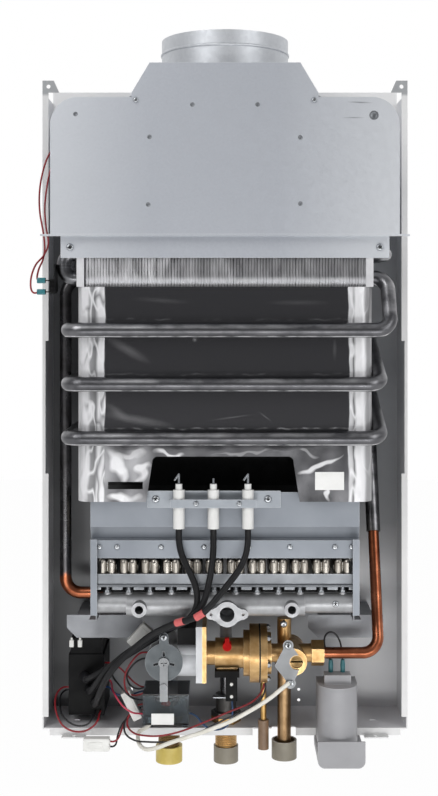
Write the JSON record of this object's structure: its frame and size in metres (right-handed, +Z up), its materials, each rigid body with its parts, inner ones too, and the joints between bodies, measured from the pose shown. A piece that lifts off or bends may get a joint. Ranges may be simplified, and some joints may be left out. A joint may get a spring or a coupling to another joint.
{
  "type": "tankless gas water heater",
  "caption": "Open wall-hung tankless gas water heater: flue hood, finned heat exchanger with coiled tube, burner, gas and water valves, battery ignition and capped connections.",
  "frame": {"origin": "middle of the back panel's rear face, on the wall", "axes": "+Z up, +Y into the wall, +X to the viewer's right"},
  "size_m": [0.3718, 0.1696, 0.7261],
  "materials": {
    "white_paint": "smooth satin powder coat",
    "galvanised": "galvanised sheet",
    "bright_steel": "bright plated steel",
    "tinned_copper": "dull tinned copper",
    "grey_steel": "plain steel",
    "copper": "bare copper tube",
    "cast_aluminium": "die-cast",
    "brass": "machined brass",
    "black_plastic": "moulded",
    "ceramic": "glazed ceramic",
    "black_rubber": "moulded",
    "silicone": "silicone sleeve",
    "wire": "insulated wire",
    "red_plastic": "moulded",
    "grey_plastic": "moulded",
    "yellow_plastic": "moulded",
    "tan_plastic": "knurled",
    "battery_jacket": "plain blank jacket",
    "clear_plastic": "clear moulded",
    "green_board": "circuit board"
  },
  "bodies": {
    "heater": {"back_panel": "white_paint", "left_side_panel": "white_paint", "right_side_panel": "white_paint", "bottom_plate": "white_paint", "flue_hood": "galvanised", "hood_front_plate": "galvanised", "hood_skirt": "galvanised", "flue_collar": "galvanised", "draft_baffle": "galvanised", "sheet_screws": "bright_steel", "fin_pack": "tinned_copper", "exchanger_end_plates": "tinned_copper", "fin_tubes": "tinned_copper", "combustion_shell": "tinned_copper", "water_coil": "tinned_copper", "hot_pipe": "copper", "cold_pipe": "copper", "overheat_thermostat": "black_plastic", "burner_front_panel": "grey_steel", "burner_side_plates": "bright_steel", "burner_rail": "bright_steel", "burner_heads": "bright_steel", "gas_manifold": "cast_aluminium", "injectors": "brass", "burner_brackets": "galvanised", "electrode_bracket": "bright_steel", "electrode_clamp": "bright_steel", "electrode_ceramics": "ceramic", "electrode_rods": "grey_steel", "gas_valve_body": "cast_aluminium", "gas_valve_plate": "galvanised", "solenoid_housing": "black_plastic", "water_valve_body": "brass", "diaphragm": "black_rubber", "diaphragm_cover": "brass", "bleed_cap": "red_plastic", "microswitch": "black_plastic", "inlet_casting": "brass", "water_plate": "galvanised", "inlet_pipe": "brass", "union_nut": "brass", "hot_outlet": "brass", "gas_inlet": "brass", "battery_case": "grey_plastic", "battery_cell": "battery_jacket", "igniter_module": "black_plastic", "control_box": "clear_plastic", "control_board": "green_board", "hv_leads": "silicone", "harness_leads": "wire"},
    "gas_lever": {"gas_control_lever": "galvanised"},
    "water_knob": {"water_spindle": "brass"},
    "battery_door": {"battery_lid": "grey_plastic"},
    "diaphragm_stem": {"diaphragm_rod": "grey_steel"},
    "switch_arm": {"microswitch_lever": "bright_steel"},
    "solenoid_core": {"solenoid_plunger": "grey_steel"},
    "gas_cover": {"gas_cap": "yellow_plastic"},
    "hot_cover": {"hot_cap": "grey_plastic"},
    "cold_cover": {"cold_cap": "grey_plastic"},
    "drain": {"drain_plug": "tan_plastic"}
  },
  "joints": [
    {"name": "gas_lever_turn", "type": "hinge", "parent": "heater", "child": "gas_lever", "pos_m": [-0.059, -0.12, -0.245], "axis": [0, 1, 0], "range_deg": [-30, 30]},
    {"name": "water_knob_turn", "type": "hinge", "parent": "heater", "child": "water_knob", "pos_m": [0.069, -0.11, -0.244], "axis": [0, 1, 0], "range_deg": [0, 270]},
    {"name": "battery_door_open", "type": "hinge", "parent": "heater", "child": "battery_door", "pos_m": [0.1125, -0.064, -0.3368], "axis": [1, 0, 0], "range_deg": [0, 100]},
    {"name": "diaphragm_stroke", "type": "slide", "parent": "heater", "child": "diaphragm_stem", "axis": [-1, 0, 0], "range_m": [0, 0.004], "stiffness_N_per_m": 800},
    {"name": "switch_arm_lift", "type": "hinge", "parent": "heater", "child": "switch_arm", "pos_m": [0.0006, -0.103, -0.283], "axis": [0, 1, 0], "range_deg": [0, 8]},
    {"name": "solenoid_stroke", "type": "slide", "parent": "heater", "child": "solenoid_core", "axis": [-1, 0, 0], "range_m": [0, 0.003], "stiffness_N_per_m": 300},
    {"name": "gas_cover_pull", "type": "slide", "parent": "heater", "child": "gas_cover", "axis": [0, 0, -1], "range_m": [0, 0.03]},
    {"name": "hot_cover_pull", "type": "slide", "parent": "heater", "child": "hot_cover", "axis": [0, 0, -1], "range_m": [0, 0.03]},
    {"name": "cold_cover_pull", "type": "slide", "parent": "heater", "child": "cold_cover", "axis": [0, 0, -1], "range_m": [0, 0.03]},
    {"name": "drain_unscrew", "type": "hinge", "parent": "heater", "child": "drain", "pos_m": [0.0382, -0.082, -0.3], "axis": [0, 0, 1], "range_deg": [0, 720]}
  ],
  "couplings": [
    {"joint": "switch_arm_lift", "follows": "diaphragm_stroke", "rad_per_m": 34.8}
  ]
}
